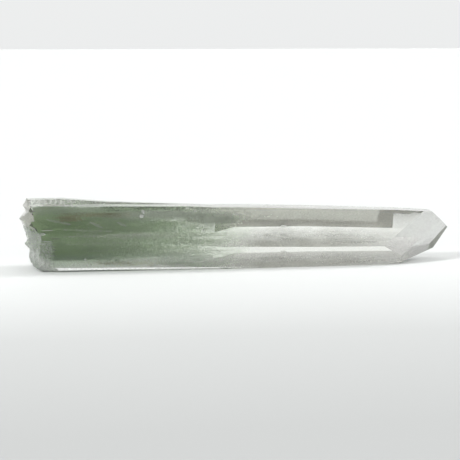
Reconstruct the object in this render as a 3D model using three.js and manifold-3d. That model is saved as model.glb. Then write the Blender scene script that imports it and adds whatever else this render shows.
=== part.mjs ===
// A slender quartz crystal lying on one of its six prism faces, its point along +X.
// Units are millimetres and +Z is up. The origin is under the crystal's middle, on the surface it rests on.
// The body grew as one piece: a tapered hexagonal prism, closed at one end by its natural termination
// and broken off rough at the other, with a thin parallel growth along its back near the break.

import * as THREE from 'three';
import { mergeVertices } from 'three/addons/utils/BufferGeometryUtils.js';
import Module from 'manifold-3d';

// Azimuths are in degrees round the c axis: 0 faces the front (-Y) and 90 faces up (+Z).

// Prism
const AXIS_HEIGHT = 7.2;
const STATIONS = [-52, -29, -10, -3.2, 1.4, 18.5, 31, 39, 60];
const PRISM_FACES = [
  { azimuth: -30, reach: [6.1, 7.0, 7.8, 8.1, 8.1, 7.95, 7.65, 7.45, 6.6] },
  { azimuth: 30, reach: [7.0, 6.8, 6.6, 6.4, 6.35, 5.7, 5.2, 4.85, 3.6] },
  { azimuth: 90, reach: [7.75, 7.45, 7.0, 6.65, 6.6, 6.05, 5.55, 5.2, 3.85] },
  { azimuth: 150, reach: [6.0, 6.0, 6.0, 6.0, 6.2, 6.0, 5.45, 5.1, 3.55] },
  { azimuth: 210, reach: [7.2, 8.1, 8.85, 8.9, 7.7, 7.55, 7.37, 7.2, 6.8] },
  { azimuth: 270, reach: [6.9, 7.2, 7.2, 7.2, 7.2, 7.2, 7.2, 6.8, 6.8] },
];

// Termination: three rhombohedral faces that meet in the apex, and two narrow faces that miss it
const APEX = new THREE.Vector3(52.7, 3.3, 7.5);
const TERMINATION_FACES = [
  { azimuth: -32.6, tilt: 52.4, pastApex: 0 },
  { azimuth: 85.5, tilt: 48.1, pastApex: 0 },
  { azimuth: 212.6, tilt: 52.4, pastApex: 0 },
  { azimuth: 4.2, tilt: 67.8, pastApex: 2.75 },
  { azimuth: 267, tilt: 80, pastApex: 4.23 },
];

// Parallel growth along the upper back edge, fading out towards the point
const GROWTH_STATIONS = [-52, -38, -28, -4];
const GROWTH_REACH = [2.8, 2.7, 1.85, 0.7];
const GROWTH_CENTRE = { y: 2.0, z: 13.2 };

// Rough break: matching outlines of its front and back rims as [x, z], from below the resting face up
const BREAK_FRONT = [
  [-43.6, -1], [-43.7, 1.0], [-44.0, 3.6], [-44.1, 6.0], [-43.8, 7.7], [-44.3, 8.8],
  [-45.3, 10.3], [-45.6, 11.5], [-45.3, 13.0], [-45.5, 14.3], [-45.6, 19],
];
const BREAK_BACK = [
  [-45.2, -1], [-45.9, 1.5], [-45.8, 3.4], [-46.6, 5.0], [-46.0, 6.1], [-46.8, 8.0],
  [-48.3, 10.9], [-47.0, 13.2], [-47.5, 14.2], [-46.6, 15.8], [-46.5, 19],
];
const BREAK_RIM = { front: -5.5, back: 6.5 };
const BREAK_EDGE = 11;

const CUTTER = 60;
const SIDES = 6;

const wasm = await Module();
wasm.setup();

function solidOf(geometry) {
  const bare = geometry.clone();
  bare.deleteAttribute('normal');
  bare.deleteAttribute('uv');
  const merged = mergeVertices(bare, 1e-4);
  return new wasm.Manifold(new wasm.Mesh({
    numProp: 3,
    vertProperties: new Float32Array(merged.attributes.position.array),
    triVerts: new Uint32Array(merged.index.array),
  }));
}

function geometryOf(solid) {
  const mesh = solid.getMesh();
  const geometry = new THREE.BufferGeometry();
  geometry.setAttribute('position', new THREE.BufferAttribute(new Float32Array(mesh.vertProperties), 3));
  geometry.setIndex(new THREE.BufferAttribute(new Uint32Array(mesh.triVerts), 1));
  return geometry;
}

// Unit vector that leans away from +X by tilt, at an azimuth round the c axis
function direction(azimuth, tilt) {
  const a = THREE.MathUtils.degToRad(azimuth);
  const t = THREE.MathUtils.degToRad(tilt);
  return new THREE.Vector3(Math.cos(t), -Math.sin(t) * Math.cos(a), Math.sin(t) * Math.sin(a));
}

// Corner where two neighbouring prism faces meet, in the plane across the axis
function corner(face, next, reachA, reachB, centre) {
  const a = direction(face.azimuth, 90);
  const b = direction(next.azimuth, 90);
  const span = a.y * b.z - a.z * b.y;
  return {
    y: centre.y + (reachA * b.z - reachB * a.z) / span,
    z: centre.z + (reachB * a.y - reachA * b.y) / span,
  };
}

// Closed loft of hexagonal sections, with the six faces at their own reach from the centre at each station
function prism(stations, reachAt, centre) {
  const positions = [];
  const index = [];
  stations.forEach((x, s) => {
    PRISM_FACES.forEach((face, f) => {
      const g = (f + 1) % SIDES;
      const point = corner(face, PRISM_FACES[g], reachAt(f, s), reachAt(g, s), centre);
      positions.push(x, point.y, point.z);
    });
  });
  const last = (stations.length - 1) * SIDES;
  for (let s = 0; s < last; s += SIDES) {
    for (let f = 0; f < SIDES; f += 1) {
      const g = (f + 1) % SIDES;
      index.push(s + f, s + SIDES + f, s + g);
      index.push(s + g, s + SIDES + f, s + SIDES + g);
    }
  }
  for (let f = 1; f < SIDES - 1; f += 1) {
    index.push(0, f, f + 1);
    index.push(last, last + f + 1, last + f);
  }
  const geometry = new THREE.BufferGeometry();
  geometry.setAttribute('position', new THREE.Float32BufferAttribute(positions, 3));
  geometry.setIndex(index);
  return solidOf(geometry);
}

// Block whose one flat side passes through a point and that fills the space on the side of its normal
function blockBeyond(point, normal) {
  const block = new THREE.BoxGeometry(CUTTER, CUTTER, CUTTER);
  const turn = new THREE.Quaternion().setFromUnitVectors(new THREE.Vector3(1, 0, 0), normal);
  block.applyQuaternion(turn);
  const centre = point.clone().addScaledVector(normal, CUTTER / 2);
  block.translate(centre.x, centre.y, centre.z);
  return solidOf(block);
}

function termination(solid) {
  return TERMINATION_FACES.reduce((rest, face) => {
    const normal = direction(face.azimuth, face.tilt);
    const point = APEX.clone().addScaledVector(normal, face.pastApex);
    return rest.subtract(blockBeyond(point, normal));
  }, solid);
}

// Outline of the break in the plane at y, on the straight lines through its front and back rims,
// closed round the far end
function breakOutline(y) {
  const share = (y - BREAK_RIM.front) / (BREAK_RIM.back - BREAK_RIM.front);
  const rim = BREAK_FRONT.map(([x, z], i) => {
    const [backX, backZ] = BREAK_BACK[i];
    return new THREE.Vector2(THREE.MathUtils.lerp(x, backX, share), THREE.MathUtils.lerp(z, backZ, share));
  });
  return [...rim, new THREE.Vector2(-CUTTER, rim.at(-1).y), new THREE.Vector2(-CUTTER, rim[0].y)];
}

// Everything beyond the rough break
function breakBlock() {
  const front = breakOutline(-BREAK_EDGE);
  const back = breakOutline(BREAK_EDGE);
  const count = front.length;
  const positions = [
    ...front.flatMap(({ x, y }) => [x, -BREAK_EDGE, y]),
    ...back.flatMap(({ x, y }) => [x, BREAK_EDGE, y]),
  ];
  const index = [];
  THREE.ShapeUtils.triangulateShape(front, []).forEach(([a, b, c]) => {
    index.push(a, b, c);
  });
  THREE.ShapeUtils.triangulateShape(back, []).forEach(([a, b, c]) => {
    index.push(count + a, count + c, count + b);
  });
  for (let a = 0; a < count; a += 1) {
    const b = (a + 1) % count;
    index.push(a, count + a, b);
    index.push(b, count + a, count + b);
  }
  const geometry = new THREE.BufferGeometry();
  geometry.setAttribute('position', new THREE.Float32BufferAttribute(positions, 3));
  geometry.setIndex(index);
  return solidOf(geometry);
}

function crystal() {
  const axis = { y: 0, z: AXIS_HEIGHT };
  const body = prism(STATIONS, (f, s) => PRISM_FACES[f].reach[s], axis);
  const growth = prism(GROWTH_STATIONS, (f, s) => GROWTH_REACH[s], GROWTH_CENTRE);
  return termination(body.add(growth)).subtract(breakBlock());
}

const geometry = geometryOf(crystal());
geometry.computeBoundingBox();
const { min, max } = geometry.boundingBox;
geometry.translate(-(min.x + max.x) / 2, -(min.y + max.y) / 2, -min.z);

const quartz = new THREE.MeshStandardMaterial({ color: 0xdfe4dc, roughness: 0.04, metalness: 0 });
const mesh = new THREE.Mesh(geometry, quartz);
mesh.name = 'quartz_crystal';

const group = new THREE.Group();
group.add(mesh);

export default group;
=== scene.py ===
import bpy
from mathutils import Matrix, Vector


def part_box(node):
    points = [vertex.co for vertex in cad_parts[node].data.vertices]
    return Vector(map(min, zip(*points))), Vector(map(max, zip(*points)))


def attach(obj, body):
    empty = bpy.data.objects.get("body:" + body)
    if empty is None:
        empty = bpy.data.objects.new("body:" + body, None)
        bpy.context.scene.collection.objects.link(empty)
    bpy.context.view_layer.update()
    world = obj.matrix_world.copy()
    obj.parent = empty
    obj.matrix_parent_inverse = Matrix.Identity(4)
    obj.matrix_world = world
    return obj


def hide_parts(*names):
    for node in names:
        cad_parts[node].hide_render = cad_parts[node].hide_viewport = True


bl_info = {
    "name": "Chlorite Quartz",
    "version": (1, 0, 0),
    "blender": (4, 5, 0),
    "location": "View3D > Sidebar > Quartz",
    "description": "A clear quartz point with a cloud of green chlorite sealed in it",
    "category": "Add Mesh",
}

import math
from typing import NamedTuple

import bmesh
import bpy
import numpy as np
from bpy.props import FloatProperty, FloatVectorProperty, IntProperty, PointerProperty
from mathutils import Matrix, Vector
from mathutils.bvhtree import BVHTree

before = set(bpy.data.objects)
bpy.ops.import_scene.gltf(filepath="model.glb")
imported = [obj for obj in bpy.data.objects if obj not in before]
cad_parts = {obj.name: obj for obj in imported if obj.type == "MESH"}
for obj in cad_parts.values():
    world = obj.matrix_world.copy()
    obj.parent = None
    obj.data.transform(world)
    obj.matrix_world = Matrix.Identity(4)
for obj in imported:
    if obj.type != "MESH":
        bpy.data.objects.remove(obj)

MM = 0.001
NODE = "quartz_crystal"
BODY = "root"
CAD_LOW, CAD_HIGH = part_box(NODE)
CAD_LENGTH = CAD_HIGH.x - CAD_LOW.x

# The crystal's own axis, which runs along +X
AXIS_Y = -0.1155 * MM
AXIS_Z = 7.2 * MM


# ---------------- settings


# Most scales that one piece holds
MOST_SCALES = 49000


def colour_property(name, description, default):
    return FloatVectorProperty(
        name=name, description=description, default=default, subtype="COLOR", min=0.0, max=1.0,
    )


def length_property(name, description, default):
    return FloatProperty(name=name, description=description, default=default, unit="LENGTH")


def density_property(name, description, default):
    return FloatProperty(name=name, description=description, default=default, min=0.0)


def count_property(name, description, default):
    return IntProperty(name=name, description=description, default=default, min=0, max=MOST_SCALES)


class CrystalSettings(bpy.types.PropertyGroup):
    """The clear quartz body."""

    ior: FloatProperty(
        name="Refractive index", description="How strongly the quartz bends light",
        default=1.544, min=1.0, max=2.0,
    )
    tint: colour_property("Body tint", "Colour that quartz takes from the light", (0.80, 0.82, 0.60))
    tint_density: density_property("Tint density", "Absorption for each metre of quartz", 14.0)
    edge_wear: length_property("Edge wear", "Width of the worn flat along each sharp edge", 0.12 * MM)
    tip_wear: length_property("Point wear", "Width of the worn flat along the point's edges", 0.22 * MM)
    # The foot strip is white partly as wear and partly as a painted highlight along the foot edge
    foot_line: length_property(
        "Foot line", "Height of the crushed strip above the front foot edge, by the break", 0.55 * MM,
    )


class ChloriteSettings(bpy.types.PropertyGroup):
    """The green cloud sealed in the quartz."""

    grain: length_property("Grain size", "Edge length of one chlorite scale", 0.13 * MM)
    green_count: count_property("Green scales", "Green scales in each of the cloud's pieces", 46000)
    pale_count: count_property("Pale scales", "Pale scales that the patches' shares are of", 26000)
    rusty_count: count_property("Rusty scales", "Brown scales that the patches' shares are of", 9000)
    dust_count: count_property("Dust", "Grey specks that the patches' shares are of", 1800)
    green: colour_property("Green", "Colour of the green scales", (0.62, 0.80, 0.485))
    pale: colour_property("Pale", "Colour of the pale scales", (0.82, 0.90, 0.76))
    rusty: colour_property("Rusty", "Colour of the iron stained scales", (0.54, 0.57, 0.36))
    dust: colour_property("Dust colour", "Colour of the grey specks", (0.88, 0.88, 0.87))
    haze: colour_property("Haze tint", "Colour the green zones take from the light", (0.35, 0.72, 0.25))
    haze_density: density_property("Haze density", "Absorption for each metre of the green zone", 20.0)


class StageSettings(bpy.types.PropertyGroup):
    """The camera, the floor and the light."""

    distance: length_property("Camera distance", "From the lens to the point looked at", 0.368)
    azimuth: FloatProperty(
        name="Camera azimuth", description="Turn of the camera round the crystal",
        default=math.radians(-8.9), subtype="ANGLE",
    )
    elevation: FloatProperty(
        name="Camera elevation", description="Height of the camera above the horizon",
        default=math.radians(7.4), subtype="ANGLE",
    )
    lens: FloatProperty(
        name="Focal length", description="For a 36 mm sensor", default=125.2, unit="CAMERA",
    )
    floor: colour_property("Floor", "Colour of the floor", (0.78, 0.795, 0.79))


# ---------------- shader maths


class Value:
    """A number, colour or vector socket; arithmetic on it adds Math nodes."""

    def __init__(self, graph, socket):
        self.graph = graph
        self.socket = socket

    def maths(self, operation, *others):
        return self.graph.add("ShaderNodeMath", {"operation": operation}, dict(enumerate(others)))

    def __add__(self, other):
        return self.maths("ADD", self, other)

    __radd__ = __add__

    def __mul__(self, other):
        return self.maths("MULTIPLY", self, other)

    __rmul__ = __mul__

    def __sub__(self, other):
        return self.maths("SUBTRACT", self, other)

    def __rsub__(self, other):
        return self.maths("SUBTRACT", other, self)

    def __truediv__(self, other):
        return self.maths("DIVIDE", self, other)

    def clamped(self):
        return self.graph.add("ShaderNodeClamp", {}, {"Value": self})


class Graph:
    """The node tree of one material or world."""

    def __init__(self, owner):
        owner.use_nodes = True
        self.tree = owner.node_tree
        self.tree.nodes.clear()

    def add(self, kind, settings=None, values=None, output=0):
        """Adds one node, with its settings first and then its sockets' values or links."""
        node = self.tree.nodes.new(kind)
        for name, value in (settings or {}).items():
            if name == "stops":
                self.fill_ramp(node.color_ramp, value)
            else:
                setattr(node, name, value)
        for name, value in (values or {}).items():
            if isinstance(value, Value):
                self.tree.links.new(value.socket, node.inputs[name])
            else:
                node.inputs[name].default_value = value
        return Value(self, node.outputs[output]) if len(node.outputs) else node

    def fill_ramp(self, ramp, stops):
        while len(ramp.elements) < len(stops):
            ramp.elements.new(1.0)
        for element, (place, colour) in zip(ramp.elements, stops):
            element.position = place
            element.color = (*colour, 1.0)

    def ramp(self, factor, stops):
        return self.add("ShaderNodeValToRGB", {"stops": stops}, {"Fac": factor})

    def mix(self, factor, a, b):
        """A colour between a and b."""
        return self.add("ShaderNodeMix", {"data_type": "RGBA"}, {0: factor, 6: a, 7: b}, output=2)

    def place(self, kind="Object"):
        return self.add("ShaderNodeTexCoord", output=kind)

    def noise(self, vector, fineness, detail=3.0, roughness=0.5):
        """Noise as fine as this for each metre: one number for all ways, or three."""
        if isinstance(fineness, tuple):
            vector = self.add("ShaderNodeMapping", {}, {"Vector": vector, "Scale": fineness})
            fineness = 1.0
        values = {"Vector": vector, "Scale": fineness, "Detail": detail, "Roughness": roughness}
        return self.add("ShaderNodeTexNoise", {}, values)

    def mark(self, name, output="Fac"):
        """A number or colour that the mesh's faces carry."""
        return self.add("ShaderNodeAttribute", {"attribute_name": name}, output=output)

    def parts(self, vector):
        """The three numbers of a vector."""
        first = self.add("ShaderNodeSeparateXYZ", {}, {0: vector})
        return [Value(self, out) for out in first.socket.node.outputs]

    def finish(self, surface, volume=None):
        """Wires the shaders to the material's output."""
        shaders = {"Surface": surface}
        if volume is not None:
            shaders["Volume"] = volume
        self.add("ShaderNodeOutputMaterial", {}, shaders)


def opaque(colour):
    return (*colour, 1.0)


# ---------------- materials


class Finish(NamedTuple):
    """What a face of the crystal is like; on some faces its crushed part is painted shade, and along the
    foot partly a painted highlight.
    """

    rough: float
    crush: float  # share of the face that is crushed
    patchy: float  # how much that share changes over the face
    relief: float  # in millimetres
    # The crushed part's colour: on some faces of the point and the back it is partly painted shade,
    # along the foot partly a painted highlight
    powder: tuple  # colour of the crushed part


FINISHES = {
    "clear": Finish(0.02, 0.0, 0.0, 0.0, (0.60, 0.60, 0.58)),
    "veiled": Finish(0.02, 0.12, 0.15, 0.0, (0.36, 0.36, 0.34)),
    # real etching on the point's faces, whose grey crushed share is also painted shade
    "etched_and_shaded": Finish(0.08, 0.34, 0.4, 0.0, (0.40, 0.40, 0.39)),
    # the back face, where the glass adds patchy dust and painted shade thickening downwards
    "dusted": Finish(0.03, 0.0, 0.0, 0.0, (0.57, 0.57, 0.55)),
    "worn": Finish(0.20, 0.55, 1.0, 0.003, (0.88, 0.89, 0.87)),
    "grained": Finish(0.30, 0.45, 1.0, 0.024, (0.50, 0.485, 0.455)),
    "broken": Finish(0.14, 0.45, 1.0, 0.018, (0.36, 0.39, 0.35)),
    "chipped": Finish(0.30, 0.45, 1.0, 0.012, (0.55, 0.56, 0.53)),
    "ridge": Finish(0.12, 0.20, 1.0, 0.0, (0.82, 0.83, 0.80)),
    # white strip along the foot edge: partly wear, partly a painted highlight
    "foot": Finish(0.30, 1.20, 0.0, 0.003, (0.92, 0.94, 0.92)),
    # near black crushed share: painted shade along the point's upper edge
    "shaded": Finish(0.10, 0.85, 0.3, 0.0, (0.12, 0.12, 0.12)),
    "under": Finish(0.20, 0.75, 0.5, 0.0, (0.64, 0.64, 0.62)),
}
CRUSH_SPREAD = 1.6
CRUSH_ROUGHNESS = 0.6

# Growth marks: relief in millimetres, the lines' part in it, and how much they roughen the glass
GROWTH_RELIEF = 0.001
LINE_SHARE = 0.25
SMEAR_ROUGHNESS = 0.03

# How fine the patterns in the quartz are for each metre: along X, Y and Z, or all ways
LINE_FINENESS = (2200.0, 90.0, 90.0)
SWELL_FINENESS = (160.0, 260.0, 260.0)
SMEAR_FINENESS = (120.0, 400.0, 400.0)
PATCH_FINENESS = (150.0, 420.0, 420.0)
GRAIN_FINENESS = 5200.0
CRUSH_FINENESS = 2300.0

# The back's dust and painted shade: they start this far along, and the painted shade thickens downwards
# from this height
DUST_START_X = -12 * MM
DUST_FADE = 16 * MM
SHADE_TOP_Z = 6.0 * MM
SHADE_DEPTH = 3.8 * MM
LOW_SHADE_SHARE = 0.85
DUST_PATCHINESS = 0.7
DUST_THIN_X = 18 * MM
DUST_THIN_FADE = 45 * MM

# How far from the break the ridge is crushed more
NEAR_BREAK_X = -36 * MM
NEAR_BREAK_FADE = 10 * MM
NEAR_BREAK_SHARE = 0.35


def quartz_glass(settings):
    """See-through quartz with fine growth lines, whose faces say how rough, crushed and uneven they are.

    The back is frosted with patchy dust from the middle to the point, with painted shade thickening
    towards its foot. The ridge is crushed more beside the break.
    """
    material = bpy.data.materials.new("clear_quartz")
    graph = Graph(material)
    place = graph.place()
    along, _, up = graph.parts(place)
    rough = graph.mark("rough")
    crush = graph.mark("crush")
    relief = graph.mark("relief")
    lines = graph.noise(place, LINE_FINENESS, detail=2.0)
    swell = graph.noise(place, SWELL_FINENESS, detail=1.0)
    grains = graph.noise(place, GRAIN_FINENESS, detail=4.0, roughness=0.65)
    height = (lines * LINE_SHARE + swell) * GROWTH_RELIEF + grains * relief
    normal = graph.add("ShaderNodeBump", {}, {"Height": height, "Strength": 1.0, "Distance": MM})
    smear = graph.noise(place, SMEAR_FINENESS, detail=4.0)
    glass = graph.add("ShaderNodeBsdfPrincipled", {}, {
        "Base Color": opaque((1.0, 1.0, 1.0)),
        "Roughness": smear * SMEAR_ROUGHNESS + rough,
        "IOR": settings.ior,
        "Transmission Weight": 1.0,
        "Normal": normal,
    })
    crushed = graph.noise(place, CRUSH_FINENESS, detail=5.0, roughness=0.7)
    bright = graph.ramp(crushed, [(0.3, (0.55, 0.55, 0.55)), (0.7, (1.0, 1.0, 1.0))])
    white = graph.mix(bright, opaque((0.0, 0.0, 0.0)), graph.mark("powder", output="Color"))
    # The crushed crust, which on some faces is painted shade and along the foot partly a painted
    # highlight
    crust_and_paint = graph.add("ShaderNodeBsdfPrincipled", {}, {
        "Base Color": white,
        "Roughness": CRUSH_ROUGHNESS,
        "Normal": normal,
    })
    share = (crushed - 0.5) * CRUSH_SPREAD * graph.mark("patchy") + crush
    near = ((NEAR_BREAK_X - along) / NEAR_BREAK_FADE).clamped() * graph.mark("ridge")
    # On the back: painted shade thickening downwards, and patchy dust
    low = ((SHADE_TOP_Z - up) / SHADE_DEPTH).clamped()
    thinner = 1.0 - ((along - DUST_THIN_X) / DUST_THIN_FADE).clamped()
    start = ((along - DUST_START_X) / DUST_FADE).clamped() * thinner * graph.mark("dusted")
    patches = graph.noise(place, PATCH_FINENESS, detail=4.0, roughness=0.6)
    dust = (low * LOW_SHADE_SHARE + (patches - 0.5) * DUST_PATCHINESS) * start
    share = share + near * NEAR_BREAK_SHARE + dust
    surface = graph.add("ShaderNodeMixShader", {}, {0: share.clamped(), 1: glass, 2: crust_and_paint})
    volume = graph.add("ShaderNodeVolumeAbsorption", {}, {
        "Color": opaque(settings.tint),
        "Density": settings.tint_density,
    })
    graph.finish(surface, volume)
    return material


def haze_matter(colour, density, name):
    """A stained zone of the quartz: no surface of its own, only absorption."""
    material = bpy.data.materials.new(name)
    graph = Graph(material)
    surface = graph.add("ShaderNodeBsdfPrincipled", {}, {
        "Base Color": opaque((1.0, 1.0, 1.0)),
        "Roughness": 0.0,
        "IOR": 1.0,
        "Transmission Weight": 1.0,
    })
    volume = graph.add("ShaderNodeVolumeAbsorption", {}, {"Color": opaque(colour), "Density": density})
    graph.finish(surface, volume)
    return material


# Scales: how much their tone changes, how fine its patches are, and how weakly they shine
SCALE_SPREAD = 0.14
SCALE_FINENESS = (220.0, 700.0, 700.0)
SCALE_IOR = 1.1

# The scales' colour: paler from here towards the point, bluer towards the foot, paler under the ridge
FAR_START_X = -38 * MM
FAR_REACH = 36 * MM
FAR_TONE = (0.89, 0.95, 0.84)
FOOT_Z = 4.8 * MM
FOOT_TONE = (0.76, 0.89, 0.78)
FOOT_FADE = 0.7
CROWN_Z = 11.4 * MM
CROWN_TONE = (0.84, 0.91, 0.80)
CROWN_SHARE = 0.6
TONE_DEPTH = 2.2 * MM


def scale_matter(colour, name, shaded=True):
    """Mineral scales in soft patches of tone; shaded ones change colour along the crystal."""
    material = bpy.data.materials.new(name)
    graph = Graph(material)
    place = graph.place()
    patch = graph.noise(place, SCALE_FINENESS, detail=3.0)
    low = tuple(c * (1 - SCALE_SPREAD) for c in colour)
    high = tuple(min(1.0, c * (1 + SCALE_SPREAD)) for c in colour)
    tone = graph.ramp(patch, [(0.3, low), (0.7, high)])
    if shaded:
        along, _, up = graph.parts(place)
        far = ((along - FAR_START_X) / FAR_REACH).clamped()
        tone = graph.mix(far, tone, opaque(FAR_TONE))
        foot = ((FOOT_Z - up) / TONE_DEPTH).clamped()
        tone = graph.mix(foot * (1.0 - far * FOOT_FADE), tone, opaque(FOOT_TONE))
        crown = ((up - CROWN_Z) / TONE_DEPTH).clamped()
        tone = graph.mix(crown * CROWN_SHARE, tone, opaque(CROWN_TONE))
    surface = graph.add("ShaderNodeBsdfPrincipled", {}, {
        "Base Color": tone,
        "Roughness": patch * 0.3 + 0.45,
        "IOR": SCALE_IOR,
    })
    graph.finish(surface)
    return material


# ---------------- mesh helpers


def mesh_of(body, name):
    """The finished mesh of a body that was being built."""
    mesh = bpy.data.meshes.new(name)
    body.to_mesh(mesh)
    body.free()
    return mesh


def placed(name, data):
    """A new object in the scene."""
    thing = bpy.data.objects.new(name, data)
    bpy.context.scene.collection.objects.link(thing)
    return thing


def new_piece(name, mesh, material):
    """A piece of the object, in place, riding on the crystal's body."""
    piece = placed(name, mesh)
    mesh.materials.append(material)
    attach(piece, BODY)
    return piece


def applied(piece):
    """The piece's mesh with its modifiers built in."""
    depsgraph = bpy.context.evaluated_depsgraph_get()
    mesh = bpy.data.meshes.new_from_object(piece.evaluated_get(depsgraph), depsgraph=depsgraph)
    piece.modifiers.clear()
    old = piece.data
    piece.data = mesh
    bpy.data.meshes.remove(old)


def tree_of(mesh):
    """A tree of the mesh's faces, for finding places on it."""
    corners = [v.co.copy() for v in mesh.vertices]
    return BVHTree.FromPolygons(corners, [tuple(f.vertices) for f in mesh.polygons])


def cad_tree():
    return tree_of(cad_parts[NODE].data)


# ---------------- sections of the crystal

SECTION_STATIONS = 90
SECTION_SPOKES = 72
SECTION_START = -44.5 * MM
SECTION_END = 49.0 * MM


def fade_in(values, start, reach):
    """0 before the start and 1 past the reach, for each number of an array."""
    return np.clip((values - start) / reach, 0, 1)


def radial(angle):
    """Unit vector square to the axis: 0 faces the front, a quarter turn faces up."""
    return Vector((0.0, -math.cos(angle), math.sin(angle)))


class Sections:
    """How far the crystal's skin lies from its axis, at any place along it and any angle round it."""

    def __init__(self, tree):
        self.stations = np.linspace(SECTION_START, SECTION_END, SECTION_STATIONS)
        self.angles = np.linspace(0, 2 * math.pi, SECTION_SPOKES, endpoint=False)
        reach = np.zeros((SECTION_STATIONS, SECTION_SPOKES))
        for i, x in enumerate(self.stations):
            for j, angle in enumerate(self.angles):
                hit = tree.ray_cast(Vector((x, AXIS_Y, AXIS_Z)), radial(angle))
                reach[i, j] = hit[3] if hit[0] is not None else 0.0
        self.reach = reach

    def radius(self, x, angle):
        """Skin distance at arrays of places and angles, between the nearest measured ones."""
        across = (np.asarray(x) - SECTION_START) / (SECTION_END - SECTION_START) * (SECTION_STATIONS - 1)
        across = np.clip(across, 0, SECTION_STATIONS - 1.001)
        turn = (np.asarray(angle) / (2 * math.pi) * SECTION_SPOKES) % SECTION_SPOKES
        i = across.astype(int)
        j = turn.astype(int) % SECTION_SPOKES
        u = across - i
        v = turn - np.floor(turn)
        k = (j + 1) % SECTION_SPOKES
        near = self.reach[i, j] * (1 - v) + self.reach[i, k] * v
        far = self.reach[i + 1, j] * (1 - v) + self.reach[i + 1, k] * v
        return near * (1 - u) + far * u

    def points(self, x, angle, distance):
        """Places, from arrays of places along, angles round and distances off the axis."""
        y = AXIS_Y - np.cos(angle) * distance
        z = AXIS_Z + np.sin(angle) * distance
        return np.stack([x, y, z], axis=-1)


# ---------------- crystal body

FLAT_ANGLE = math.radians(0.8)
SHARP_ANGLE = math.radians(30)
COARSE_SLICE = 5 * MM
BREAK_SLICES = (-47.3 * MM, -46.6 * MM, -46.0 * MM, -45.2 * MM, -44.8 * MM)
BREAK_END_X = -40 * MM

# The strip along the front foot edge, white partly as wear and partly as a painted highlight: its end,
# its lower edge and how far it leans out
FOOT_LINE_END_X = 5 * MM
FOOT_LINE_Z = 0.32 * MM
FOOT_LEAN = 0.9

# Edges that run this nearly along the axis are the prism's; those of the break aren't worn
PRISM_RUN = 0.98
BREAK_RUN = 0.9
BREAK_EDGES_X = BREAK_END_X - 3 * MM

# Rough break: its grid, and how far off the cutter reaches
BREAK_GRID = 0.11 * MM
BREAK_Y = (-10.5 * MM, 10.5 * MM)
BREAK_Z = (-1.5 * MM, 18.0 * MM)
BREAK_REACH_X = -60 * MM
BREAK_MIDDLE_Z = AXIS_Z + 0.8 * MM
BREAK_STEP_IN = 0.02
BREAK_SEED = 11

# Its flat tilted shards: how many, how far in they lie, their tilt, and how uneven their outlines are
SHARD_COUNT = 150
SHARD_LIFT = 0.45
SHARD_TILT = 0.22
SHARD_UNEVEN = 0.5 * MM

# Its ripples round the place struck, its coarse and fine relief, and how many percent stay flat
STRIKE = (5.0 * MM, 14.5 * MM)
RIPPLE_PITCH = 0.62 * MM
RIPPLE_HEIGHT = 0.02 * MM
COARSE_RELIEF = 0.5 * MM
FINE_RELIEF = (0.01 * MM, 0.04 * MM)
BREAK_UNTOUCHED = 25

# Below this height the relief has only this share, and above it grows to full
LOW_RELIEF_Z = 7 * MM
RELIEF_FADE = 4 * MM
LOW_RELIEF = 0.45


def slice_across(body, spacing):
    """Cuts the mesh's faces by planes across the axis, closer together by the break."""
    count = int(CAD_LENGTH / spacing)
    places = [CAD_LOW.x + i * CAD_LENGTH / count for i in range(1, count)]
    for x in (*places, *BREAK_SLICES):
        geometry = body.verts[:] + body.edges[:] + body.faces[:]
        bmesh.ops.bisect_plane(body, geom=geometry, plane_co=(x, 0, 0), plane_no=(1, 0, 0), dist=1e-7)


def foot_line_height(x, settings):
    """Height of the upper edge of the white foot strip, partly wear and partly a painted highlight, at a
    place along the crystal.
    """
    share = (FOOT_LINE_END_X - x) / (FOOT_LINE_END_X - BREAK_END_X)
    return FOOT_LINE_Z + settings.foot_line * share


def score_foot_line(body, settings):
    """Splits the front lower face along the lower and the upper edge of the foot strip, whose white is
    partly a painted highlight.
    """
    slope = settings.foot_line / (FOOT_LINE_END_X - BREAK_END_X)
    for rise in (0.0, slope):
        front = [f for f in body.faces if f.normal.y < -0.8 and f.normal.z < -0.4]
        verts = list({v for f in front for v in f.verts})
        geometry = front + verts + list({e for f in front for e in f.edges})
        start = (FOOT_LINE_END_X, 0, FOOT_LINE_Z)
        bmesh.ops.bisect_plane(body, geom=geometry, plane_co=start, plane_no=(rise, 0, 1), dist=1e-7)


def lean_foot_line(body, settings):
    """Pulls the strip's lower edge forward, so that the strip faces forward and a little up."""
    for vert in body.verts:
        height = foot_line_height(vert.co.x, settings) - FOOT_LINE_Z
        on_line = abs(vert.co.z - FOOT_LINE_Z) < 0.001 * MM and vert.co.y < 0
        if on_line and height > 0:
            vert.co.y -= height * FOOT_LEAN


def edge_weights(body, settings):
    """Marks each sharp edge with its worn width, as a share of the widest."""
    layer = body.edges.layers.float.new("bevel_weight_edge")
    for edge in body.edges:
        if len(edge.link_faces) != 2 or edge.calc_face_angle() < SHARP_ANGLE:
            continue
        if min(v.co.x for v in edge.verts) < BREAK_EDGES_X and edge_run(edge) < BREAK_RUN:
            continue
        middle = (edge.verts[0].co + edge.verts[1].co) / 2
        at_point = middle.x > POINT_START_X and edge_run(edge) < PRISM_RUN
        width = settings.tip_wear if at_point else settings.edge_wear
        edge[layer] = width / settings.tip_wear


def edge_run(edge):
    """How nearly an edge runs along the axis, from 0 to 1."""
    return abs((edge.verts[1].co - edge.verts[0].co).normalized().x)


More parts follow.
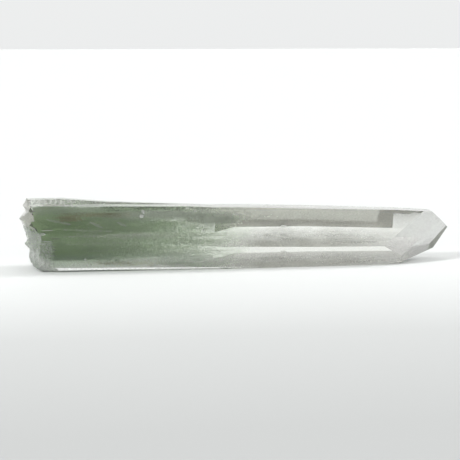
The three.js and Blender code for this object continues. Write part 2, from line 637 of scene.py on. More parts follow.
def crystal_blank(settings):
    """The CAD body's shape as a mesh with marked edges."""
    body = bmesh.new()
    body.from_mesh(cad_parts[NODE].data)
    bmesh.ops.remove_doubles(body, verts=body.verts, dist=1e-6)
    bmesh.ops.dissolve_limit(body, angle_limit=FLAT_ANGLE, verts=body.verts, edges=body.edges)
    slice_across(body, COARSE_SLICE)
    score_foot_line(body, settings)
    edge_weights(body, settings)
    lean_foot_line(body, settings)
    return mesh_of(body, "crystal")


def grid_blur(field, passes):
    """Evens a grid out with its neighbours."""
    for _ in range(passes):
        padded = np.pad(field, 1, mode="edge")
        field = (
            padded[1:-1, 1:-1] * 2 + padded[:-2, 1:-1] + padded[2:, 1:-1]
            + padded[1:-1, :-2] + padded[1:-1, 2:]
        ) / 6
    return field


def break_plain(tree, ys, zs):
    """Where the CAD break lies along X, over a grid of places across; carried straight on outside it."""
    depth = np.zeros((len(ys), len(zs)))
    for i, y in enumerate(ys):
        for j, z in enumerate(zs):
            share = 1.0
            while share > 0:
                across = AXIS_Y + (y - AXIS_Y) * share
                up = BREAK_MIDDLE_Z + (z - BREAK_MIDDLE_Z) * share
                hit = tree.ray_cast(Vector((BREAK_REACH_X, across, up)), Vector((1, 0, 0)))
                if hit[0] is not None and hit[0].x < BREAK_END_X:
                    depth[i, j] = hit[0].x
                    break
                share -= BREAK_STEP_IN
    return depth


def shards(ys, zs, rng):
    """Flat tilted chips of the broken surface: how much further in each lies."""
    at_y = rng.uniform(*BREAK_Y, SHARD_COUNT)
    at_z = rng.uniform(*BREAK_Z, SHARD_COUNT)
    lift = rng.uniform(0.0, SHARD_LIFT, SHARD_COUNT) * MM
    tilt_y = rng.normal(0, SHARD_TILT, SHARD_COUNT)
    tilt_z = rng.normal(0, SHARD_TILT, SHARD_COUNT)
    grid_y, grid_z = np.meshgrid(ys, zs, indexing="ij")
    away = np.hypot(grid_y[..., None] - at_y, grid_z[..., None] - at_z)
    away += rng.uniform(0, SHARD_UNEVEN, SHARD_COUNT)
    nearest = away.argmin(axis=-1)
    rise = lift[nearest]
    rise += tilt_y[nearest] * (grid_y - at_y[nearest]) + tilt_z[nearest] * (grid_z - at_z[nearest])
    return rise


def break_surface(tree):
    """The rough break as a grid: places across and their X."""
    rng = np.random.default_rng(BREAK_SEED)
    ys = np.arange(BREAK_Y[0], BREAK_Y[1], BREAK_GRID)
    zs = np.arange(BREAK_Z[0], BREAK_Z[1], BREAK_GRID)
    depth = grid_blur(break_plain(tree, ys, zs), 1)
    grid_y, grid_z = np.meshgrid(ys, zs, indexing="ij")
    chips = grid_blur(shards(ys, zs, rng), 1)
    strike = np.hypot(grid_y - STRIKE[0], grid_z - STRIKE[1])
    ripples = (1 + np.sin(strike / RIPPLE_PITCH * 2 * math.pi)) * RIPPLE_HEIGHT
    coarse = grid_blur(rng.uniform(0, 1, depth.shape), 3) * COARSE_RELIEF
    fine = rng.uniform(*FINE_RELIEF, depth.shape)
    relief = chips + ripples + coarse
    relief -= np.percentile(relief, BREAK_UNTOUCHED)
    relief *= LOW_RELIEF + (1 - LOW_RELIEF) * fade_in(grid_z, LOW_RELIEF_Z, RELIEF_FADE)
    return ys, zs, depth + np.maximum(relief, 0) + fine


def break_cutter(ys, zs, depth):
    """A closed block whose one side is the break, filling the space beyond it."""
    rows, columns = depth.shape
    body = bmesh.new()
    face_side = [
        [body.verts.new((depth[i, j], ys[i], zs[j])) for j in range(columns)] for i in range(rows)
    ]
    for i in range(rows - 1):
        for j in range(columns - 1):
            a, b = face_side[i][j], face_side[i + 1][j]
            c, d = face_side[i + 1][j + 1], face_side[i][j + 1]
            body.faces.new((a, b, c))
            body.faces.new((a, c, d))
    ring = [face_side[i][0] for i in range(rows)]
    ring += [face_side[rows - 1][j] for j in range(1, columns)]
    ring += [face_side[i][columns - 1] for i in range(rows - 2, -1, -1)]
    ring += [face_side[0][j] for j in range(columns - 2, 0, -1)]
    far = [body.verts.new((BREAK_REACH_X, v.co.y, v.co.z)) for v in ring]
    for k in range(len(ring)):
        n = (k + 1) % len(ring)
        body.faces.new((ring[n], ring[k], far[k], far[n]))
    body.faces.new(far)
    bmesh.ops.recalc_face_normals(body, faces=body.faces)
    return mesh_of(body, "break_cutter")


# Chips: place along in millimetres, degrees round, length, width and depth in millimetres, turn
CHIPS = (
    (-22.75, 55.0, 0.34, 0.70, 0.13, 15),
    (-23.15, 47.0, 0.56, 0.56, 0.16, 0),
    (-9.45, 15.6, 0.62, 0.26, 0.14, 65),
    (-12.6, 60.5, 0.60, 0.22, 0.10, 0),
    (-10.9, 56.0, 0.30, 0.26, 0.10, 0),
    (-35.96, -38.9, 0.30, 0.36, 0.14, 0),
    (-35.30, -50.0, 0.26, 0.42, 0.14, 0),
    (-34.60, -51.6, 0.24, 0.34, 0.12, 0),
    (-47.20, 25.0, 0.60, 0.50, 0.20, 0),
    (-45.55, 14.2, 0.85, 0.50, 0.22, 0),
    (-44.30, 21.4, 1.70, 0.13, 0.07, 0),
    (-42.70, 6.0, 1.50, 0.09, 0.05, 0),
    (-43.90, -30.5, 1.60, 0.16, 0.07, 0),
    (10.6, 190.5, 0.90, 0.40, 0.16, 0),
    (-28.0, 205.0, 0.70, 0.60, 0.20, 30),
)
CHIP_SEED = 23
CHIP_UNEVEN = 0.10
CHIP_MARGIN = 1.15


def chip_cutters(tree):
    """Uneven pebbles sunk in the skin, one for each chip, as one mesh, and their middles and sizes."""
    rng = np.random.default_rng(CHIP_SEED)
    body = bmesh.new()
    spots = []
    for along, degrees, length, width, depth, turn in CHIPS:
        outward = radial(math.radians(degrees))
        hit = tree.ray_cast(Vector((along * MM, AXIS_Y, AXIS_Z)), outward)
        normal = hit[1] if hit[1].dot(outward) > 0 else -hit[1]
        lengthwise = (Vector((1, 0, 0)) - normal * normal.x).normalized()
        crosswise = normal.cross(lengthwise)
        frame_turn = Matrix((lengthwise, crosswise, normal)).transposed().to_4x4()
        spin = Matrix.Rotation(math.radians(turn), 4, "Z")
        size = Matrix.Diagonal((length * MM, width * MM, depth * 2 * MM, 1.0))
        place = Matrix.Translation(hit[0] + normal * depth * MM)
        made = bmesh.ops.create_icosphere(body, subdivisions=3, radius=1.0)
        for vert in made["verts"]:
            vert.co *= 1 + rng.uniform(-CHIP_UNEVEN, CHIP_UNEVEN)
            vert.co = place @ frame_turn @ spin @ size @ vert.co
        spots.append((hit[0], max(length, width) * CHIP_MARGIN * MM))
    return mesh_of(body, "chip_cutters"), spots


def cut(piece, mesh, name):
    """Takes a closed mesh away from the piece."""
    cutter = placed(name, mesh)
    modifier = piece.modifiers.new(name, "BOOLEAN")
    modifier.operation = "DIFFERENCE"
    modifier.solver = "MANIFOLD"
    modifier.object = cutter
    applied(piece)
    bpy.data.objects.remove(cutter)
    bpy.data.meshes.remove(mesh)


# Where the finishes lie: places, and ranges of azimuth in degrees (0 is the front, 90 is up)
POINT_START_X = 34 * MM
RIDGE_TOP_Z = 13.6 * MM
RIDGE_END_X = -8 * MM
GRAINED_Z = 9.6 * MM
PAINTED_SHADE_AZIMUTHS = (70, 100)
DUST_AND_SHADE_AZIMUTHS = (190, 232)
VEILED_AZIMUTHS = (135, 165)
FACE_AZIMUTH_STEP = 60
FACE_AZIMUTH_GAP = 12

# Parts of a face's normal that tell what it is: along the axis, up or forward
POINT_LEAN = 0.3
UNDER_LEAN = 0.12
UNDER_DOWN = -0.9
WORN_BACK = 0.2
RIDGE_UP = 0.3
FOOT_FRONT = -0.5

# Worn edges are narrower than these, cut faces smaller, and faces this near the uncut skin are its own
WORN_WIDTH = 0.9 * MM
TIP_WEAR_MARGIN = 1.1
CUT_FACE_AREA = 0.12 * MM * MM
SKIN_MATCH = 0.006 * MM


def face_width(face, mesh):
    """How wide a face is across the crystal."""
    corners = [mesh.vertices[i].co for i in face.vertices]
    return max((Vector((0, a.y, a.z)) - Vector((0, b.y, b.z))).length for a in corners for b in corners)


def thinness(face, mesh):
    """A face's shorter measure: its area over its longest side."""
    corners = [mesh.vertices[i].co for i in face.vertices]
    return face.area / max((a - b).length for a in corners for b in corners)


def is_worn_edge(face, mesh, azimuth):
    """Whether a lengthwise face is a narrow flat between two of the prism's faces."""
    off_prism = abs((azimuth % FACE_AZIMUTH_STEP) - FACE_AZIMUTH_STEP / 2) > FACE_AZIMUTH_GAP
    return abs(face.normal.x) < POINT_LEAN and face_width(face, mesh) < WORN_WIDTH and off_prism


def skin_finish(face, mesh, settings):
    """The finish of a face of the outer skin, from its place and the way it looks."""
    centre, normal = face.center, face.normal
    azimuth = math.degrees(math.atan2(normal.z, -normal.y)) % 360
    at_point = centre.x > POINT_START_X
    if at_point and thinness(face, mesh) < settings.tip_wear * TIP_WEAR_MARGIN:
        return "worn" if normal.y < WORN_BACK else "clear"
    # The point's faces: etched ones partly painted shade, those facing up painted near black as shade
    if at_point and normal.x > POINT_LEAN:
        return "shaded" if PAINTED_SHADE_AZIMUTHS[0] < azimuth < PAINTED_SHADE_AZIMUTHS[1] else "etched_and_shaded"
    if at_point and normal.x > UNDER_LEAN and normal.z < UNDER_DOWN:
        return "under"
    if centre.x < RIDGE_END_X and centre.z > RIDGE_TOP_Z and normal.z > RIDGE_UP:
        return "ridge"
    # The foot strip, whose white is partly a painted highlight
    if normal.y < FOOT_FRONT and FOOT_LINE_Z < centre.z < foot_line_height(centre.x, settings):
        return "foot"
    if is_worn_edge(face, mesh, azimuth):
        return "worn"
    # The back face: patchy dust and painted shade
    if DUST_AND_SHADE_AZIMUTHS[0] < azimuth < DUST_AND_SHADE_AZIMUTHS[1] and centre.x > DUST_START_X:
        return "dusted"
    if VEILED_AZIMUTHS[0] < azimuth < VEILED_AZIMUTHS[1]:
        return "veiled"
    return "clear"


def finish_of(face, skin, skin_names, spots):
    """The finish of a face of the cut body: the uncut skin's where it lies on that, or a cut one."""
    centre = face.center
    _, _, index, away = skin.find_nearest(centre)
    past_break = centre.x > BREAK_END_X
    if away < SKIN_MATCH or (past_break and face.area > CUT_FACE_AREA):
        return skin_names[index]
    if past_break and any((centre - spot).length < size for spot, size in spots):
        return "chipped"
    return "grained" if centre.z > GRAINED_Z else "broken"


def mark_finishes(piece, skin, skin_names, spots):
    """Writes each face's finish on it; skin and skin_names are the uncut body's tree and finishes."""
    mesh = piece.data
    names = [finish_of(face, skin, skin_names, spots) for face in mesh.polygons]
    measures = ("rough", "crush", "patchy", "relief")
    columns = {mark: [getattr(FINISHES[n], mark) for n in names] for mark in measures}
    columns |= {mark: [float(n == mark) for n in names] for mark in ("dusted", "ridge")}
    for name, values in columns.items():
        mesh.attributes.new(name, "FLOAT", "FACE").data.foreach_set("value", values)
    colours = np.array([opaque(FINISHES[n].powder) for n in names], dtype=np.float32)
    mesh.attributes.new("powder", "FLOAT_COLOR", "FACE").data.foreach_set("color", colours.ravel())


class QUARTZ_OT_crystal(bpy.types.Operator):
    """Builds the clear quartz body from the CAD solid, with worn edges, a rough break and chips"""

    bl_idname = "quartz.crystal"
    bl_label = "Crystal body"

    def execute(self, context):
        settings = context.scene.quartz_crystal
        tree = cad_tree()
        piece = new_piece("crystal", crystal_blank(settings), quartz_glass(settings))
        bevel = piece.modifiers.new("wear", "BEVEL")
        bevel.limit_method = "WEIGHT"
        bevel.offset_type = "WIDTH"
        bevel.width = settings.tip_wear
        bevel.segments = 1
        bevel.use_clamp_overlap = True
        applied(piece)
        uncut = piece.data
        skin = tree_of(uncut)
        skin_names = [skin_finish(face, uncut, settings) for face in uncut.polygons]
        cut(piece, break_cutter(*break_surface(tree)), "break")
        chips, spots = chip_cutters(tree)
        cut(piece, chips, "chips")
        mark_finishes(piece, skin, skin_names, spots)
        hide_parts(NODE)
        return {"FINISHED"}


# ---------------- green zones

ZONE_RINGS = 44
ZONE_SPOKES = 40
ZONE_RISE = 0.06
# Each zone: start and end in millimetres, share of the section at its widest, and how bluntly it ends
ZONES = (
    ("stain_outer", -45.2, 3.0, 0.96, 2.6),
    ("stain_inner", -44.6, -8.0, 0.80, 1.8),
)


def zone_share(share, widest, blunt):
    """A zone's width along it: quickly up from nothing at the break, slowly down towards the point."""
    rise = fade_in(share, 0, ZONE_RISE)
    return widest * np.sqrt(rise * (2 - rise)) * (1 - share) ** (1 / blunt)


def zone_mesh(name, sections, start, end, widest, blunt):
    """A closed bullet shape inside the crystal."""
    body = bmesh.new()
    shares = (1 - np.cos(np.linspace(0, math.pi, ZONE_RINGS + 2))) / 2
    angles = np.linspace(0, 2 * math.pi, ZONE_SPOKES, endpoint=False)
    tips = [body.verts.new((x * MM, AXIS_Y, AXIS_Z)) for x in (start, end)]
    rings = []
    for share in shares[1:-1]:
        x = np.full(ZONE_SPOKES, (start + (end - start) * share) * MM)
        distance = sections.radius(x, angles) * zone_share(share, widest, blunt)
        rings.append([body.verts.new(p) for p in sections.points(x, angles, distance)])
    for k in range(ZONE_SPOKES):
        n = (k + 1) % ZONE_SPOKES
        body.faces.new((tips[0], rings[0][k], rings[0][n]))
        body.faces.new((tips[1], rings[-1][n], rings[-1][k]))
        for near, far in zip(rings, rings[1:]):
            body.faces.new((near[k], far[k], far[n], near[n]))
    bmesh.ops.recalc_face_normals(body, faces=body.faces)
    for face in body.faces:
        face.smooth = True
    return mesh_of(body, name)


class QUARTZ_OT_stain(bpy.types.Operator):
    """Builds the green stained zones inside the quartz, which only take colour from the light"""

    bl_idname = "quartz.stain"
    bl_label = "Green zones"

    def execute(self, context):
        settings = context.scene.quartz_chlorite
        sections = Sections(cad_tree())
        for name, start, end, widest, blunt in ZONES:
            matter = haze_matter(settings.haze, settings.haze_density, name)
            mesh = zone_mesh(name, sections, start, end, widest, blunt)
            new_piece(name, mesh, matter)
        return {"FINISHED"}


# ---------------- chlorite scales

SCALE_SHAPE = np.array([(1.0, 1.0, 0.4), (-1.0, -1.0, 0.4), (-1.0, 1.0, -0.4), (1.0, -1.0, -0.4)]) / 2.2
SCALE_FACES = np.array([(0, 2, 1), (0, 1, 3), (0, 3, 2), (1, 2, 3)])
BAKE_MAP = "OFBake"
CELL_CORNERS = np.array([(0.15, 0.15), (0.85, 0.15), (0.15, 0.85)])
CLOUD_START = -50.0 * MM
CLOUD_END = -1.0 * MM
CLOUD_FADE_START = -47.0 * MM
SKIN_GAP = 0.15 * MM
GRAIN_SPREAD = (0.55, 1.35)


def turned(rng, count):
    """Random turns, as 3x3 matrices."""
    q = rng.normal(size=(count, 4))
    q /= np.linalg.norm(q, axis=1, keepdims=True)
    w, x, y, z = q.T
    return np.stack([
        np.stack([1 - 2 * (y * y + z * z), 2 * (x * y - z * w), 2 * (x * z + y * w)], -1),
        np.stack([2 * (x * y + z * w), 1 - 2 * (x * x + z * z), 2 * (y * z - x * w)], -1),
        np.stack([2 * (x * z - y * w), 2 * (y * z + x * w), 1 - 2 * (x * x + y * y)], -1),
    ], -2)


def scale_mesh(name, centres, sizes, rng):
    """One mesh of closed four-sided scales, each with its own cell in the map."""
    centres = centres[np.argsort(centres[:, 0], kind="stable")]
    count = len(centres)
    corners = np.einsum("kj,nij->nki", SCALE_SHAPE, turned(rng, count)) * sizes[:, None, None]
    corners += centres[:, None, :]
    faces = (SCALE_FACES[None] + 4 * np.arange(count)[:, None, None]).reshape(-1, 3)
    mesh = bpy.data.meshes.new(name)
    mesh.vertices.add(count * 4)
    mesh.vertices.foreach_set("co", corners.astype(np.float32).ravel())
    mesh.loops.add(faces.size)
    mesh.loops.foreach_set("vertex_index", faces.ravel().astype(np.int32))
    mesh.polygons.add(len(faces))
    mesh.polygons.foreach_set("loop_start", np.arange(0, faces.size, 3, dtype=np.int32))
    mesh.update(calc_edges=True)
    side = math.ceil(math.sqrt(count))
    cells = np.stack([np.arange(count) % side, np.arange(count) // side], -1)
    spots = (cells[:, None, None, :] + np.broadcast_to(CELL_CORNERS, (4, 3, 2))) / side
    layer = mesh.uv_layers.new(name=BAKE_MAP)
    layer.uv.foreach_set("vector", spots.reshape(-1, 2).astype(np.float32).ravel())
    return mesh


# The cloud's outline, as a share of the section, and how it draws in towards its end, below and above
CLOUD_REACH = 1.04
CLOUD_TAPER = 0.9
CLOUD_TAPER_POWER = 2.4
LOW_TAPER = 0.1
HIGH_TAPER = 0.45

# How soft the outline is by the break, how much softer at the end, and how much thinner it is there
EDGE_SOFTNESS = 0.06
END_SOFTNESS = 0.55
END_THINNING = 0.45

# Near the foot only this share is left, and from this height it grows back to full
FOOT_SHARE = 0.06
FOOT_CLEAR_Z = 3.2 * MM
FOOT_CLEAR_FADE = 1.6 * MM

# The cloud stays clear of this side near its end, which lets light through there
CLEAR_SIDE = math.radians(205)
CLEAR_SHARE = 0.8
CLEAR_POWER = 1.2


def cloud_chance(x, angle, inner, up):
    """How likely a scale is at a place: less so at the cloud's edge, at its end and near the foot."""
    along = fade_in(x, CLOUD_FADE_START, CLOUD_END - CLOUD_FADE_START)
    low = np.clip(-np.sin(angle), 0, 1)
    high = np.clip(np.sin(angle), 0, 1)
    edge = CLOUD_REACH - CLOUD_TAPER * along ** CLOUD_TAPER_POWER
    edge = edge * (1 - LOW_TAPER * along * low) * (1 - HIGH_TAPER * along * high)
    within = np.clip((edge - inner) / (EDGE_SOFTNESS + END_SOFTNESS * along) + 0.5, 0, 1)
    foot = FOOT_SHARE + (1 - FOOT_SHARE) * fade_in(up, FOOT_CLEAR_Z, FOOT_CLEAR_FADE)
    behind = 1 - CLEAR_SHARE * along ** CLEAR_POWER * np.clip(np.cos(angle - CLEAR_SIDE), 0, 1)
    return within * foot * behind * (1 - END_THINNING * along)


# How far the cloud keeps behind the break in millimetres: at least, at random, and more near the top
GAP_LEAST = 0.08
GAP_SOFT = (0.15, 0.6)
GAP_TOP = 2.4
GAP_TOP_Z = 8 * MM
GAP_TOP_FADE = 6 * MM


class BreakFront:
    """Where the crystal begins at any place across it: the rough break."""

    def __init__(self, tree):
        self.ys, self.zs, self.depth = break_surface(tree)

    def x_at(self, points):
        spots = (points[:, 1:] - (self.ys[0], self.zs[0])) / BREAK_GRID
        i, j = np.clip(spots.astype(int), 0, (len(self.ys) - 1, len(self.zs) - 1)).T
        return self.depth[i, j]

    def behind(self, points, rng):
        """Those of the points that lie well behind the break, deeper near the top."""
        high = fade_in(points[:, 2], GAP_TOP_Z, GAP_TOP_FADE)
        soft = GAP_SOFT[0] + GAP_SOFT[1] * high
        gap = GAP_LEAST + rng.exponential(1.0, len(points)) * soft
        gap = (gap + GAP_TOP * high * rng.uniform(0, 1, len(points))) * MM
        return points[points[:, 0] > self.x_at(points) + gap]


# Growth streaks in the cloud: how many, their lengths in millimetres, and how far scales stray from them
CLOUD_STREAKS = 620
STREAK_LENGTHS = (3, 11)
STREAK_STRAY_ALONG = 0.4
STREAK_STRAY_ROUND = 0.03
STREAK_STRAY_OUT = 0.012
CLOUD_TRIES = 3


def cloud_points(sections, count, rng, streaky=0.6, thinning=1.5, start=CLOUD_START):
    """Places of scales in the cloud, many of them strung along the axis in growth streaks."""
    reach = CLOUD_END - start
    tries = count * CLOUD_TRIES
    x_even = start + reach * rng.beta(1.0, thinning, tries)
    angle_even = rng.uniform(0, 2 * math.pi, tries)
    inner_even = np.sqrt(rng.uniform(0, 1, tries))
    streak = rng.integers(0, CLOUD_STREAKS, tries)
    streak_angle = rng.uniform(0, 2 * math.pi, CLOUD_STREAKS)[streak]
    streak_inner = np.sqrt(rng.uniform(0, 1, CLOUD_STREAKS))[streak]
    streak_middle = (start + reach * rng.beta(1.0, thinning, CLOUD_STREAKS))[streak]
    streak_length = rng.uniform(*STREAK_LENGTHS, CLOUD_STREAKS)[streak] * MM
    x_streak = streak_middle + streak_length * rng.normal(0, STREAK_STRAY_ALONG, tries)
    on_streak = rng.uniform(0, 1, tries) < streaky
    x = np.where(on_streak, x_streak, x_even)
    angle = np.where(on_streak, streak_angle + rng.normal(0, STREAK_STRAY_ROUND, tries), angle_even)
    inner = np.where(on_streak, streak_inner + rng.normal(0, STREAK_STRAY_OUT, tries), inner_even)
    inside = (x > start) & (x < CLOUD_END) & (inner < 1) & (inner > 0)
    x, angle, inner = x[inside], angle[inside], inner[inside]
    points = sections.points(x, angle, (sections.radius(x, angle) - SKIN_GAP) * inner)
    kept = rng.uniform(0, 1, len(x)) < cloud_chance(x, angle, inner, points[:, 2])
    return points[kept][:count]


# Small patches under the skin: middle along in millimetres and half length, middle in degrees round and
# half width, how far out from and to as a share of the section, and share of the setting's count
RUSTY_PATCHES = (
    (-39.3, 2.6, 47, 7, 0.86, 0.96, 0.24),
    (-31.5, 6.0, 53, 4, 0.90, 0.965, 0.22),
    (-27.0, 8.0, -52, 5, 0.82, 0.95, 0.14),
)
PALE_PATCHES = (
    (-18.0, 13.0, 53, 8, 0.86, 0.97, 0.50),
    (-11.0, 11.0, -40, 22, 0.50, 0.96, 0.25),
    (-12.0, 9.0, 215, 14, 0.80, 0.97, 0.16),
    (-24.0, 16.0, 8, 7, 0.90, 0.97, 0.16),
    (-7.0, 6.0, 42, 10, 0.84, 0.96, 0.34),
)
DUST_PATCHES = (
    (9.0, 5.0, 205, 14, 0.90, 0.975, 0.30),
    (26.0, 12.0, 212, 14, 0.90, 0.975, 0.26),
    (-6.0, 6.0, -28, 16, 0.92, 0.975, 0.20),
    (38.0, 5.0, 262, 22, 0.93, 0.98, 0.24),
)
# Pale feathers under the front: from and to, as (along, degrees round) in millimetres and degrees
FEATHERS = (
    ((-44.3, 44.0), (-39.0, 33.0)),
    ((-34.8, 37.5), (-31.9, 24.5)),
    ((-28.7, 36.5), (-26.7, 27.5)),
    ((-41.0, 22.5), (-30.0, 17.5)),
    ((-40.5, -4.0), (-12.0, -2.0)),
)
FEATHER_SCALES = 300
FEATHER_THICKNESS = (0.3, 1.4)
FEATHER_INNER = (0.94, 0.975)
SKIN_LIMIT = 0.985

# Wisps in a patch: scales in each, and their spread and the scales' own, along and round
WISP_SCALES = 40
FEWEST_WISPS = 8
WISP_SPREAD = (0.45, 0.5)
SCALE_STRAY = (0.3, 0.7)


def patch_points(sections, patches, count, rng):
    """Places of scales in small soft patches, gathered in wisps along the axis."""
    places = []
    for middle, half_length, turn, half_width, inner_from, inner_to, share in patches:
        number = int(count * share)
        wisps = max(FEWEST_WISPS, number // WISP_SCALES)
        wisp = rng.integers(0, wisps, number)
        x = rng.normal(0, WISP_SPREAD[0], wisps)[wisp] + rng.normal(0, SCALE_STRAY[0], number)
        x = middle + half_length * x
        angle = turn + half_width * rng.normal(0, WISP_SPREAD[1], wisps)[wisp]
        angle = angle + rng.normal(0, SCALE_STRAY[1], number)
        inner = np.minimum(rng.uniform(inner_from, inner_to, number), SKIN_LIMIT)
        x, angle = x * MM, np.radians(angle)
        places.append(sections.points(x, angle, sections.radius(x, angle) * inner))
    return np.concatenate(places)


def feather_points(sections, rng):
    """Places of the pale scales that lie in thin feathers just under the front."""
    places = []
    for (start, angle_from), (end, angle_to) in FEATHERS:
        share = rng.uniform(0, 1, FEATHER_SCALES)
        x = (start + (end - start) * share) * MM
        thickness = FEATHER_THICKNESS[1] * np.sin(share * math.pi) + FEATHER_THICKNESS[0]
        angle = angle_from + (angle_to - angle_from) * share + rng.normal(0, 1, len(share)) * thickness
        angle = np.radians(angle)
        inner = rng.uniform(*FEATHER_INNER, len(share))
        places.append(sections.points(x, angle, sections.radius(x, angle) * inner))
    return np.concatenate(places)


def strew(name, points, colour, settings, rng, shaded=True):
    """One piece of scales at these places."""
    sizes = settings.grain * rng.uniform(*GRAIN_SPREAD, len(points))
    mesh = scale_mesh(name, points, sizes, rng)
    new_piece(name, mesh, scale_matter(colour, name, shaded=shaded))


GREEN_PIECES = 4
PALE_CLOUD = {"streaky": 0.85, "thinning": 0.9, "start": -38 * MM}
CHLORITE_SEED = 7
DUST_SEED = 19


class QUARTZ_OT_chlorite(bpy.types.Operator):
    """Strews the chlorite scales through the quartz"""

    bl_idname = "quartz.chlorite"
    bl_label = "Chlorite scales"

    def execute(self, context):
        settings = context.scene.quartz_chlorite
        tree = cad_tree()
        sections = Sections(tree)
        front = BreakFront(tree)
        rng = np.random.default_rng(CHLORITE_SEED)
        for i in range(GREEN_PIECES):
            green = front.behind(cloud_points(sections, settings.green_count, rng), rng)
            strew(f"chlorite_green_{i + 1}", green, settings.green, settings, rng)
        pale = [
            cloud_points(sections, settings.pale_count // 2, rng, **PALE_CLOUD),
            patch_points(sections, PALE_PATCHES, settings.pale_count, rng),
            feather_points(sections, rng),
        ]
        pale = front.behind(np.concatenate(pale), rng)
        strew("chlorite_pale", pale, settings.pale, settings, rng)
        rusty = patch_points(sections, RUSTY_PATCHES, settings.rusty_count, rng)
        strew("chlorite_rusty", rusty, settings.rusty, settings, rng, shaded=False)
        return {"FINISHED"}


class QUARTZ_OT_dust(bpy.types.Operator):
    """Strews fine grey dust under the back of the clear half"""

    bl_idname = "quartz.dust"
    bl_label = "Grey dust"

    def execute(self, context):
        settings = context.scene.quartz_chlorite
        sections = Sections(cad_tree())
        rng = np.random.default_rng(DUST_SEED)
        dust = patch_points(sections, DUST_PATCHES, settings.dust_count, rng)
        strew("dust_grey", dust, settings.dust, settings, rng, shaded=False)
        return {"FINISHED"}


# ---------------- stage

LOOK_AT = Vector((-2.274 * MM, AXIS_Y, 8.19 * MM))
SENSOR_WIDTH = 36.0
CLIP_START = 0.01
FLOOR_REACH = 3.0
FLOOR_CELLS = 60
FLOOR_DROP = 0.05 * MM

# The floor's tones, with painted shade darkening them towards the camera and a little behind the
# crystal: share of the way from the front place to the back, and brightness there
FLOOR_FRONT_Y = -0.4
FLOOR_SPAN = 0.6
FLOOR_TONES_AND_SHADE = (
    (0.0, 0.55), (0.42, 0.60), (0.53, 0.70), (0.60, 0.86), (0.65, 0.96), (0.67, 0.97), (0.71, 0.91),
)


def floor_mesh():
    body = bmesh.new()
    bmesh.ops.create_grid(body, x_segments=FLOOR_CELLS, y_segments=FLOOR_CELLS, size=FLOOR_REACH)
    return mesh_of(body, "floor")


def floor_matter(settings):
    """Pale floor, whiter behind the crystal than in front of it; painted shade darkens it towards the
    camera and a little behind the crystal.
    """
    material = bpy.data.materials.new("pale_floor")
    graph = Graph(material)
    _, depth, _ = graph.parts(graph.place())
    share = (depth - FLOOR_FRONT_Y) / FLOOR_SPAN
    stops = [(place, tuple(c * bright for c in settings.floor)) for place, bright in FLOOR_TONES_AND_SHADE]
    tone = graph.ramp(share.clamped(), stops)
    surface = graph.add("ShaderNodeBsdfPrincipled", {}, {
        "Base Color": tone,
        "Roughness": 0.7,
        "Specular IOR Level": 0.2,
    })
    graph.finish(surface)
    return material


# Soft lamps: azimuth (0 is the front, 90 the right), elevation and half-width in degrees, strength
LAMPS = (
    (95, 30, 10, 17.0),
    (0, 88, 25, 1.4),
)
# A soft lamp is full within the first share of its half-width, and gone past the second
LAMP_EDGE = (0.75, 1.25)
# The main lamp: azimuth, elevation and width in degrees, strength
KEY = (-62, 30, 8, 2.2)
# The sky's tones: height, from 0 below to 1 overhead with the horizon at one half, and colour
SKY_TONES = (
    (0.45, (0.82, 0.83, 0.83)),
    (0.51, (0.85, 0.86, 0.86)),
    (0.54, (1.0, 1.0, 1.0)),
    (0.70, (1.0, 1.0, 1.0)),
    (0.76, (0.55, 0.555, 0.55)),
    (1.0, (0.55, 0.555, 0.55)),
)


def towards(azimuth, elevation):
    """Unit vector to a lamp or the camera, from its azimuth and elevation in degrees."""
    a, e = math.radians(azimuth), math.radians(elevation)
    return Vector((math.sin(a) * math.cos(e), -math.cos(a) * math.cos(e), math.sin(e)))


def face_away(thing, back):
    """Turns a lamp or a camera so that it looks against this direction."""
    thing.rotation_mode = "QUATERNION"
    thing.rotation_quaternion = (-back).to_track_quat("-Z", "Y")


def key_lamp():
    """The main lamp, which only lights what faces it, so no bright sparks come through the quartz."""
    azimuth, elevation, width, strength = KEY
    lamp = bpy.data.lights.new("key", "SUN")
    lamp.energy = strength
    lamp.angle = math.radians(width)
    lamp.cycles.use_multiple_importance_sampling = False
    face_away(placed("key", lamp), towards(azimuth, elevation))


def studio_sky(scene):
    """Soft light all round: white low down, greyer higher up, with soft lamps in it."""
    world = bpy.data.worlds.new("studio_sky")
    scene.world = world
    graph = Graph(world)
    direction = graph.place("Generated")
    _, _, height = graph.parts(direction)
    tone = graph.ramp((height * 0.5 + 0.5).clamped(), SKY_TONES)
    sky = graph.add("ShaderNodeBackground", {}, {"Color": tone, "Strength": 1.0})
    glow = 0.0
    for azimuth, elevation, width, power in LAMPS:
        near = graph.add(
            "ShaderNodeVectorMath", {"operation": "DOT_PRODUCT"},
            {0: direction, 1: towards(azimuth, elevation)}, output="Value",
        )
        full, edge = (math.cos(math.radians(width * share)) for share in LAMP_EDGE)
        glow = ((near - edge) * (1 / (full - edge))).clamped() * power + glow
    lamps = graph.add("ShaderNodeBackground", {}, {"Strength": glow})
    light = graph.add("ShaderNodeAddShader", {}, {0: sky, 1: lamps})
    graph.add("ShaderNodeOutputWorld", {}, {"Surface": light})


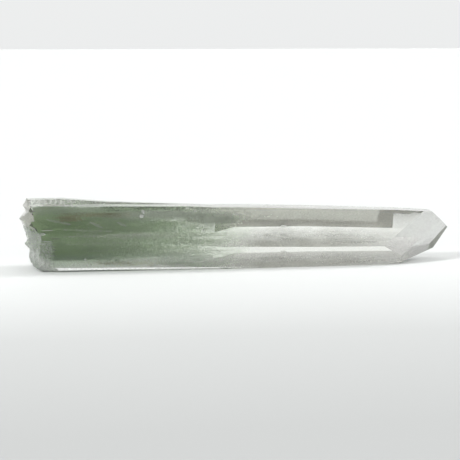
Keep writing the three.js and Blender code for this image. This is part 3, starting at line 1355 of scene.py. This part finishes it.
class QUARTZ_OT_stage(bpy.types.Operator):
    """Sets the floor, the soft light and the camera"""

    bl_idname = "quartz.stage"
    bl_label = "Floor, light and camera"

    def execute(self, context):
        scene = context.scene
        settings = scene.quartz_stage
        floor = placed("floor", floor_mesh())
        floor.data.materials.append(floor_matter(settings))
        floor.location.z = -FLOOR_DROP
        studio_sky(scene)
        key_lamp()
        camera = placed("camera", bpy.data.cameras.new("camera"))
        camera.data.lens = settings.lens
        camera.data.sensor_width = SENSOR_WIDTH
        camera.data.clip_start = CLIP_START
        back = towards(math.degrees(settings.azimuth), math.degrees(settings.elevation))
        camera.location = LOOK_AT + back * settings.distance
        face_away(camera, back)
        scene.camera = camera
        scene.view_settings.view_transform = "Standard"
        scene.cycles.max_bounces = 28
        scene.cycles.glossy_bounces = 20
        scene.cycles.transmission_bounces = 24
        scene.cycles.diffuse_bounces = 5
        return {"FINISHED"}


# ---------------- panel and main


class QUARTZ_PT_panel(bpy.types.Panel):
    """Lists the crystal's operators and settings"""

    bl_idname = "QUARTZ_PT_panel"
    bl_label = "Chlorite quartz"
    bl_space_type = "VIEW_3D"
    bl_region_type = "UI"
    bl_category = "Quartz"

    def draw(self, context):
        scene = context.scene
        for operator in OPERATORS:
            self.layout.operator(operator.bl_idname)
        for group in (scene.quartz_crystal, scene.quartz_chlorite, scene.quartz_stage):
            box = self.layout.box()
            for name in group.__annotations__:
                box.prop(group, name)


GROUPS = (
    ("quartz_crystal", CrystalSettings),
    ("quartz_chlorite", ChloriteSettings),
    ("quartz_stage", StageSettings),
)
OPERATORS = (QUARTZ_OT_crystal, QUARTZ_OT_stain, QUARTZ_OT_chlorite, QUARTZ_OT_dust, QUARTZ_OT_stage)
CLASSES = (CrystalSettings, ChloriteSettings, StageSettings, *OPERATORS, QUARTZ_PT_panel)


def register():
    for cls in CLASSES:
        bpy.utils.register_class(cls)
    for name, group in GROUPS:
        setattr(bpy.types.Scene, name, PointerProperty(type=group))


def unregister():
    for name, _ in GROUPS:
        delattr(bpy.types.Scene, name)
    for cls in reversed(CLASSES):
        bpy.utils.unregister_class(cls)


def main():
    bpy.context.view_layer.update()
    register()
    bpy.ops.quartz.crystal()
    bpy.ops.quartz.stain()
    bpy.ops.quartz.chlorite()
    bpy.ops.quartz.dust()
    bpy.ops.quartz.stage()


if __name__ == "__main__":
    main()
